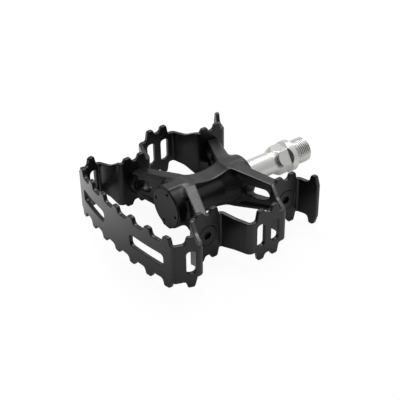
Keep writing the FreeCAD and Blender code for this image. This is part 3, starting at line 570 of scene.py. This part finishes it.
# Floor: a wide sheet of white studio paper, laid flat, that the pedal stands on by its lower teeth. It is
# a hair below the teeth, so that nothing cuts into it.
FLOOR_HALF = 3.0
FLOOR_CELLS = 8
FLOOR_GAP = 0.05
form = bmesh.new()
bmesh.ops.create_grid(form, x_segments=FLOOR_CELLS, y_segments=FLOOR_CELLS, size=FLOOR_HALF)
bmesh.ops.translate(form, verts=form.verts, vec=(0, 0, cad_box[0].z - FLOOR_GAP * MM))
floor = finished("paper_floor", form, NODE_CREASE)

# White paper: matt, with a very faint mottle from its fibres. A glow of painted light rises in it, most
# behind the cage's outer corner, and a painted shadow dims it right under the pedal; to the camera it comes
# out white, with next to no shadow.
WHITE = "#ffffff"
PAPER_DEEP = "#bababa"
PAPER_PALE = "#bebebe"
PAPER_FIBRE = 3
# The glow below is painted light: where it rises across the paper towards the cage's outer corner, and how
# strong it gets.
PAINTED_GLOW_WAY = (-0.7071, 0.7071, 0.0)
PAINTED_GLOW_START = 68
PAINTED_GLOW_END = 150
PAINTED_GLOW_LEAST = 0.25
PAINTED_GLOW_MOST = 0.95
# The shade below is a painted shadow: how far round the pedal's middle it dims the glow, and how dark it gets
# there.
PAINTED_SHADOW_CENTRE = Vector((-57, 0, -15)) * MM
PAINTED_SHADOW_START = 35
PAINTED_SHADOW_END = 58
PAINTED_SHADOW_LEAST = 0.25
PAPER_WHITE = 1.03
WASHED_OUT = 0.9
paper = new_material("matt_white_paper_with_painted_glow_and_shadow")
place = add_node(paper, "ShaderNodeTexCoord")
fibres = add_node(paper, "ShaderNodeTexNoise", {"Scale": 1 / (PAPER_FIBRE * MM), "Detail": 4.0},
                  {"Vector": (place, "Object")})
tone = add_node(paper, "ShaderNodeMix", {"A": linear(PAPER_DEEP), "B": linear(PAPER_PALE)},
                {"Factor": (fibres, "Fac")}, data_type="RGBA")
# Painted glow: the paper gives off light of its own, rising towards the cage's outer corner.
reach = add_node(paper, "ShaderNodeVectorMath", {1: PAINTED_GLOW_WAY}, {0: (place, "Object")},
                 operation="DOT_PRODUCT")
painted_glow = add_node(paper, "ShaderNodeMapRange",
                {"From Min": PAINTED_GLOW_START * MM, "From Max": PAINTED_GLOW_END * MM,
                 "To Min": PAINTED_GLOW_LEAST, "To Max": PAINTED_GLOW_MOST},
                {"Value": (reach, "Value")}, interpolation_type="SMOOTHSTEP")
# Painted shadow: the glow is dimmed in a round patch right under the pedal.
apart = add_node(paper, "ShaderNodeVectorMath", {1: PAINTED_SHADOW_CENTRE}, {0: (place, "Object")},
                 operation="DISTANCE")
painted_shadow = add_node(paper, "ShaderNodeMapRange",
                 {"From Min": PAINTED_SHADOW_START * MM, "From Max": PAINTED_SHADOW_END * MM,
                  "To Min": PAINTED_SHADOW_LEAST, "To Max": 1.0},
                 {"Value": (apart, "Value")}, interpolation_type="SMOOTHSTEP")
painted_light = add_node(paper, "ShaderNodeMath", links={0: (painted_glow, "Result"), 1: (painted_shadow, "Result")},
               operation="MULTIPLY")
sheet = add_node(paper, "ShaderNodeBsdfPrincipled", {"Roughness": 0.9, "Emission Color": linear(WHITE)},
                 {"Base Color": (tone, "Result"), "Emission Strength": (painted_light, "Value")})
bright = add_node(paper, "ShaderNodeEmission", {"Color": linear(WHITE), "Strength": PAPER_WHITE})
seen = add_node(paper, "ShaderNodeLightPath")
share = add_node(paper, "ShaderNodeMath", {1: WASHED_OUT}, {0: (seen, "Is Camera Ray")}, operation="MULTIPLY")
both = add_node(paper, "ShaderNodeMixShader",
                links={"Fac": (share, "Value"), 1: (sheet, "BSDF"), 2: (bright, "Emission")})
add_node(paper, "ShaderNodeOutputMaterial", links={"Surface": (both, "Shader")})
dress(floor, paper)

# Light: a dark studio with one wide white wall on the crank's side, a little light from the back and the
# front, and more low down at the back and in its corner on the cap's side. Over the pedal hang a large soft
# box and a smaller one for the arms' slopes. Each fade is where a light starts and where it is full.
WALL_WAY = (0.985, 0.0, 0.17)
WALL_FADE = (0.2, 0.95)
WALL_LIGHT = 1.0
END_FADE = (0.2, 0.95)
END_LIGHT = 0.13
BACK_FADE = (0.68, 0.95)
BACK_LIGHT = 0.4
CORNER_WAY = (-0.524, 0.728, 0.443)
CORNER_FADE = (0.78, 0.97)
CORNER_LIGHT = 0.55
SCENE = bpy.context.scene
SCENE.view_settings.view_transform = "Standard"
studio = bpy.data.worlds.new("studio")
studio.use_nodes = True
studio.node_tree.nodes.clear()
SCENE.world = studio
way = add_node(studio, "ShaderNodeTexCoord")
facing = add_node(studio, "ShaderNodeVectorMath", {1: WALL_WAY}, {0: (way, "Generated")},
                  operation="DOT_PRODUCT")
wall = add_node(studio, "ShaderNodeMapRange",
                {"From Min": WALL_FADE[0], "From Max": WALL_FADE[1], "To Max": WALL_LIGHT},
                {"Value": (facing, "Value")}, interpolation_type="SMOOTHSTEP")
sides = add_node(studio, "ShaderNodeSeparateXYZ", links={"Vector": (way, "Generated")})
ends = add_node(studio, "ShaderNodeMath", links={0: (sides, "Y")}, operation="ABSOLUTE")
faint = add_node(studio, "ShaderNodeMapRange",
                 {"From Min": END_FADE[0], "From Max": END_FADE[1], "To Max": END_LIGHT},
                 {"Value": (ends, "Value")}, interpolation_type="SMOOTHSTEP")
low = add_node(studio, "ShaderNodeMapRange",
               {"From Min": BACK_FADE[0], "From Max": BACK_FADE[1], "To Max": BACK_LIGHT},
               {"Value": (sides, "Y")}, interpolation_type="SMOOTHSTEP")
both_ends = add_node(studio, "ShaderNodeMath", links={0: (faint, "Result"), 1: (low, "Result")},
                     operation="ADD")
toward_corner = add_node(studio, "ShaderNodeVectorMath", {1: CORNER_WAY}, {0: (way, "Generated")},
                         operation="DOT_PRODUCT")
corner_glow = add_node(studio, "ShaderNodeMapRange",
                       {"From Min": CORNER_FADE[0], "From Max": CORNER_FADE[1], "To Max": CORNER_LIGHT},
                       {"Value": (toward_corner, "Value")}, interpolation_type="SMOOTHSTEP")
rear = add_node(studio, "ShaderNodeMath", links={0: (both_ends, "Value"), 1: (corner_glow, "Result")},
                operation="ADD")
total = add_node(studio, "ShaderNodeMath", links={0: (wall, "Result"), 1: (rear, "Value")}, operation="ADD")
seen = add_node(studio, "ShaderNodeLightPath")
strength = add_node(studio, "ShaderNodeMix", {"B": 1.0},
                    {"Factor": (seen, "Is Camera Ray"), "A": (total, "Value")}, data_type="FLOAT")
backdrop = add_node(studio, "ShaderNodeBackground", {"Color": linear(WHITE)},
                    {"Strength": (strength, "Result")})
add_node(studio, "ShaderNodeOutputWorld", links={"Surface": (backdrop, "Background")})

# Soft boxes: each row has a name, a width in metres, its watts and the way to it from the pedal's middle.
AIM = Vector((-57, 0, 0)) * MM
BOX_REACH = 0.75
SOFT_BOXES = [("overhead_box", 0.8, 2.8, (0.03, 0.1, 0.99)), ("slope_box", 0.3, 2.0, (0.3, 0.35, 0.89))]
for name, width, energy, toward in SOFT_BOXES:
    light = bpy.data.lights.new(name, "AREA")
    light.shape = "SQUARE"
    light.size = width
    light.energy = energy
    soft_box = bpy.data.objects.new(name, light)
    soft_box.location = AIM + Vector(toward).normalized() * BOX_REACH
    soft_box.rotation_euler = (AIM - soft_box.location).to_track_quat("-Z", "Y").to_euler()
    soft_box.visible_camera = False
    SCENE.collection.objects.link(soft_box)

# Camera: a long lens from the front, on the cap's side, and above, as in the photograph. Its ways and its
# place come from a fit to the tips of the cage's teeth.
RIGHT = Vector((0.8022, -0.5969, -0.0138))
UP = Vector((0.3464, 0.4464, 0.8251))
BACK = Vector((-0.4863, -0.6667, 0.5648))
CAMERA_PLACE = Vector((-329.82, -365.57, 305.02)) * MM
LENS_LENGTH = 91.54
NEAR_CLIP = 0.05
FAR_CLIP = 20.0
lens = bpy.data.cameras.new("camera")
lens.lens = LENS_LENGTH
lens.clip_start = NEAR_CLIP
lens.clip_end = FAR_CLIP
camera = bpy.data.objects.new("camera", lens)
camera.matrix_world = Matrix((RIGHT, UP, BACK)).transposed().to_4x4()
camera.location = CAMERA_PLACE
SCENE.collection.objects.link(camera)
SCENE.camera = camera
